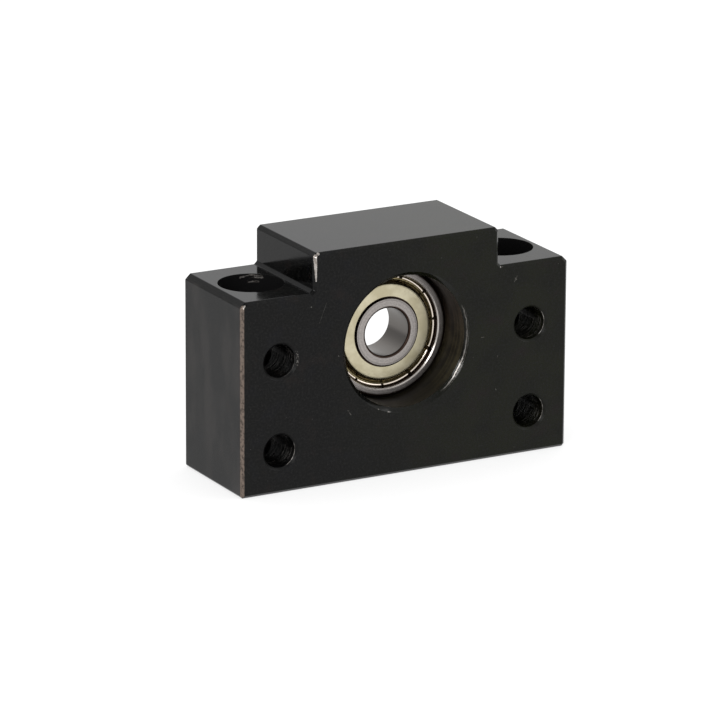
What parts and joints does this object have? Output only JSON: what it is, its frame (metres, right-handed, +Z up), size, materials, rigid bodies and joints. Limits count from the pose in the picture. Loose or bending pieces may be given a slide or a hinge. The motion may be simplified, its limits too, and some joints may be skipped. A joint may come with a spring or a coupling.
{
  "type": "ball screw end support",
  "caption": "Foot-mounted block that carries the floating end of a ball screw in a shielded ball bearing, free to slide along its straight bore.",
  "frame": {"origin": "middle of the base face, which stands on the mounting surface", "axes": "+X along the base's long side, +Y along the shaft axis towards the rear face, +Z up from the base"},
  "size_m": [0.06, 0.02, 0.039],
  "materials": {
    "black_oxide_steel": "machined steel with a satin black-oxide film, worn bright along some edges",
    "ring_steel": "fine ground bearing steel",
    "shield_steel": "pressed sheet steel, pale yellowish zinc plating",
    "ball_steel": "lapped and polished",
    "cage_steel": "pressed strip steel, lightly greased"
  },
  "bodies": {
    "block": {"housing": "black_oxide_steel"},
    "bearing": {"bearing_outer_ring": "ring_steel", "shield_front": "shield_steel", "shield_rear": "shield_steel"},
    "inner_ring": {"bearing_inner_ring": "ring_steel"},
    "cage": {"cage_front_half": "cage_steel", "cage_rear_half": "cage_steel"},
    "rolling_ball_1": {"ball_1": "ball_steel"},
    "rolling_ball_2": {"ball_2": "ball_steel"},
    "rolling_ball_3": {"ball_3": "ball_steel"},
    "rolling_ball_4": {"ball_4": "ball_steel"},
    "rolling_ball_5": {"ball_5": "ball_steel"},
    "rolling_ball_6": {"ball_6": "ball_steel"},
    "rolling_ball_7": {"ball_7": "ball_steel"}
  },
  "joints": [
    {"name": "bearing_float", "type": "slide", "parent": "block", "child": "bearing", "axis": [0, 1, 0], "range_m": [-0.0058, 0.0058]},
    {"name": "inner_ring_spin", "type": "hinge", "parent": "bearing", "child": "inner_ring", "pos_m": [0, 0, 0.022], "axis": [0, 1, 0], "continuous": true},
    {"name": "cage_spin", "type": "hinge", "parent": "bearing", "child": "cage", "pos_m": [0, 0, 0.022], "axis": [0, 1, 0], "continuous": true},
    {"name": "ball_1_roll", "type": "hinge", "parent": "cage", "child": "rolling_ball_1", "pos_m": [0, 0, 0.0295], "axis": [0, 1, 0], "continuous": true},
    {"name": "ball_2_roll", "type": "hinge", "parent": "cage", "child": "rolling_ball_2", "pos_m": [-0.00586, 0, 0.02668], "axis": [0, 1, 0], "continuous": true},
    {"name": "ball_3_roll", "type": "hinge", "parent": "cage", "child": "rolling_ball_3", "pos_m": [-0.00731, 0, 0.02033], "axis": [0, 1, 0], "continuous": true},
    {"name": "ball_4_roll", "type": "hinge", "parent": "cage", "child": "rolling_ball_4", "pos_m": [-0.00325, 0, 0.01524], "axis": [0, 1, 0], "continuous": true},
    {"name": "ball_5_roll", "type": "hinge", "parent": "cage", "child": "rolling_ball_5", "pos_m": [0.00325, 0, 0.01524], "axis": [0, 1, 0], "continuous": true},
    {"name": "ball_6_roll", "type": "hinge", "parent": "cage", "child": "rolling_ball_6", "pos_m": [0.00731, 0, 0.02033], "axis": [0, 1, 0], "continuous": true},
    {"name": "ball_7_roll", "type": "hinge", "parent": "cage", "child": "rolling_ball_7", "pos_m": [0.00586, 0, 0.02668], "axis": [0, 1, 0], "continuous": true}
  ],
  "couplings": [
    {"joint": "cage_spin", "follows": "inner_ring_spin", "ratio": 0.3677},
    {"joint": "ball_1_roll", "follows": "inner_ring_spin", "ratio": -1.7573},
    {"joint": "ball_2_roll", "follows": "inner_ring_spin", "ratio": -1.7573},
    {"joint": "ball_3_roll", "follows": "inner_ring_spin", "ratio": -1.7573},
    {"joint": "ball_4_roll", "follows": "inner_ring_spin", "ratio": -1.7573},
    {"joint": "ball_5_roll", "follows": "inner_ring_spin", "ratio": -1.7573},
    {"joint": "ball_6_roll", "follows": "inner_ring_spin", "ratio": -1.7573},
    {"joint": "ball_7_roll", "follows": "inner_ring_spin", "ratio": -1.7573}
  ]
}
